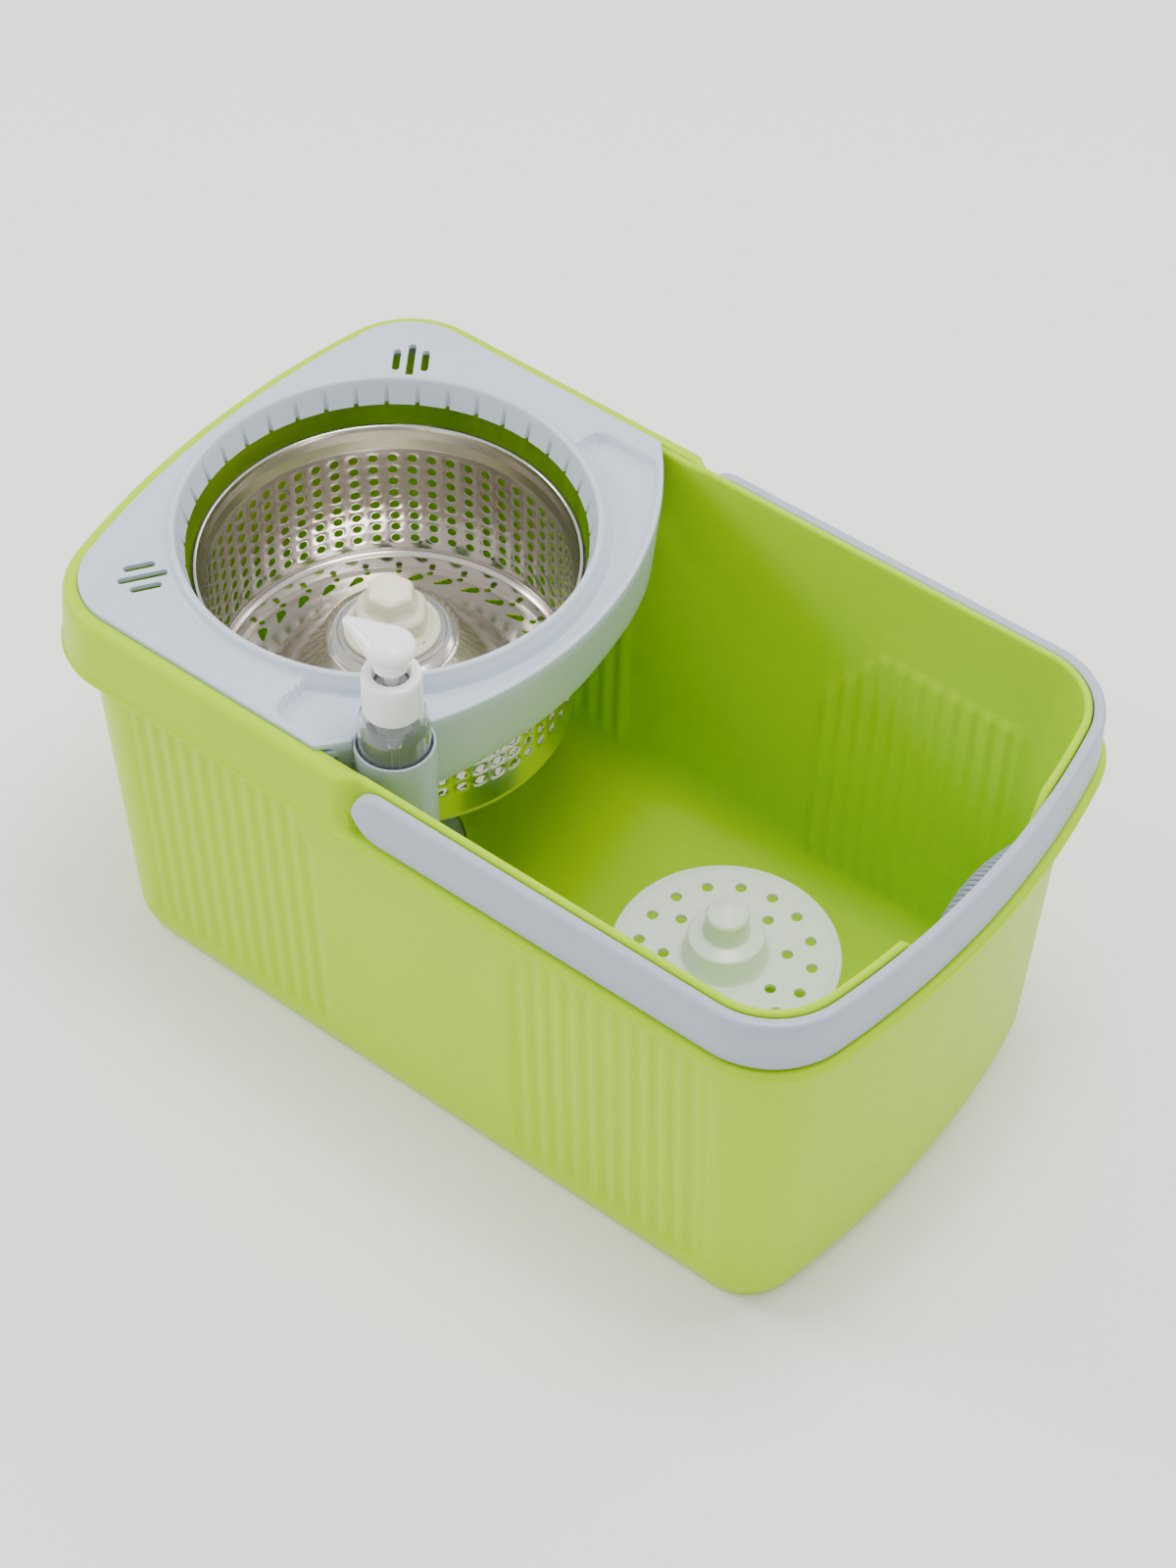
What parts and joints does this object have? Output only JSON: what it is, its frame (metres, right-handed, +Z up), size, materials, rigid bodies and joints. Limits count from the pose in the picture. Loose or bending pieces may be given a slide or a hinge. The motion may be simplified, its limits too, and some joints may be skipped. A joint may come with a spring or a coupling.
{
  "type": "spin mop bucket",
  "caption": "Long two-zone mop bucket with a lift-out perforated steel spin basket, a turning wash disc, a bail handle with a ribbed grip and a soap pump in a grey deck.",
  "frame": {"origin": "middle of the tub's length and width, on the plane it stands on", "axes": "+X along the tub toward its open washing end, +Y across it (the soap pump is on the -Y side), +Z up"},
  "size_m": [0.4876, 0.288, 0.3112],
  "materials": {
    "tub_green": "smooth moulded gloss",
    "bail_grey": "smooth moulded satin gloss",
    "grip_grey": "fine ribbed matt",
    "deck_grey": "smooth moulded satin gloss",
    "cup_grey": "smooth moulded",
    "basket_steel": "bright drawn sheet",
    "hub_cream": "smooth moulded",
    "ring_steel": "turned",
    "screw_steel": "plated",
    "bush_plastic": "self-lubricating plastic",
    "ball_steel": "polished",
    "spindle_steel": "ground",
    "post_grey": "moulded",
    "disc_white": "smooth moulded",
    "bottle_clear": "translucent blown",
    "pump_white": "smooth moulded",
    "gasket_rubber": "soft",
    "chamber_clear": "translucent moulded",
    "spring_steel": "wire"
  },
  "bodies": {
    "base": {"tub": "tub_green", "support_post": "post_grey", "post_screws": "screw_steel", "spindle": "spindle_steel", "wash_pin": "spindle_steel"},
    "bail": {"bail_handle": "bail_grey", "handle_grip": "grip_grey"},
    "deck": {"deck": "deck_grey", "bottle_cup": "cup_grey"},
    "bottle": {"bottle": "bottle_clear"},
    "pump": {"pump_chamber": "chamber_clear", "closure_gasket": "gasket_rubber", "dip_tube": "chamber_clear", "pump_spring": "spring_steel"},
    "closure": {"closure": "pump_white"},
    "stem": {"pump_stem": "pump_white"},
    "head": {"pump_head": "pump_white"},
    "valve": {"valve_ball": "ball_steel"},
    "ball": {"thrust_ball": "ball_steel"},
    "basket": {"basket_shell": "basket_steel", "basket_floor": "basket_steel", "drive_hub": "hub_cream", "hub_ring": "ring_steel", "hub_screws": "screw_steel", "hub_socket": "hub_cream", "socket_bush": "bush_plastic"},
    "disc_bush": {"disc_bush": "bush_plastic"},
    "disc": {"wash_disc": "disc_white"}
  },
  "joints": [
    {"name": "bail_swing", "type": "hinge", "parent": "base", "child": "bail", "pos_m": [-0.0066, 0, 0.22655], "axis": [0, -1, 0], "range_deg": [0, 95]},
    {"name": "deck_lift", "type": "slide", "parent": "base", "child": "deck", "axis": [0, 0, 1], "range_m": [0, 0.066]},
    {"name": "bottle_lift", "type": "slide", "parent": "deck", "child": "bottle", "axis": [0, 0, 1], "range_m": [0, 0.065]},
    {"name": "pump_rise", "type": "slide", "parent": "bottle", "child": "pump", "axis": [0, 0, 1], "range_m": [0, 0.00601]},
    {"name": "closure_turn", "type": "hinge", "parent": "pump", "child": "closure", "pos_m": [-0.0245, -0.105, 0.27], "axis": [0, 0, 1], "range_deg": [0, 720]},
    {"name": "pump_press", "type": "slide", "parent": "pump", "child": "stem", "axis": [0, 0, -1], "range_m": [0, 0.01], "stiffness_N_per_m": 400, "springref_m": -0.004, "deforming": ["pump_spring"]},
    {"name": "head_turn", "type": "hinge", "parent": "stem", "child": "head", "pos_m": [-0.0245, -0.105, 0.3], "axis": [0, 0, 1], "continuous": true},
    {"name": "valve_lift", "type": "slide", "parent": "pump", "child": "valve", "axis": [0, 0, 1], "range_m": [0, 0.001]},
    {"name": "basket_lift", "type": "slide", "parent": "base", "child": "ball", "axis": [0, 0, 1], "range_m": [0, 0.125]},
    {"name": "basket_spin", "type": "hinge", "parent": "ball", "child": "basket", "pos_m": [-0.118, 0, 0.1755], "axis": [0, 0, 1], "continuous": true},
    {"name": "disc_lift", "type": "slide", "parent": "base", "child": "disc_bush", "axis": [0, 0, 1], "range_m": [0, 0.175]},
    {"name": "disc_spin", "type": "hinge", "parent": "disc_bush", "child": "disc", "pos_m": [0.096, 0, 0.07], "axis": [0, 0, 1], "continuous": true}
  ],
  "couplings": [
    {"joint": "pump_rise", "follows": "closure_turn", "m_per_rad": 0.00047746}
  ]
}
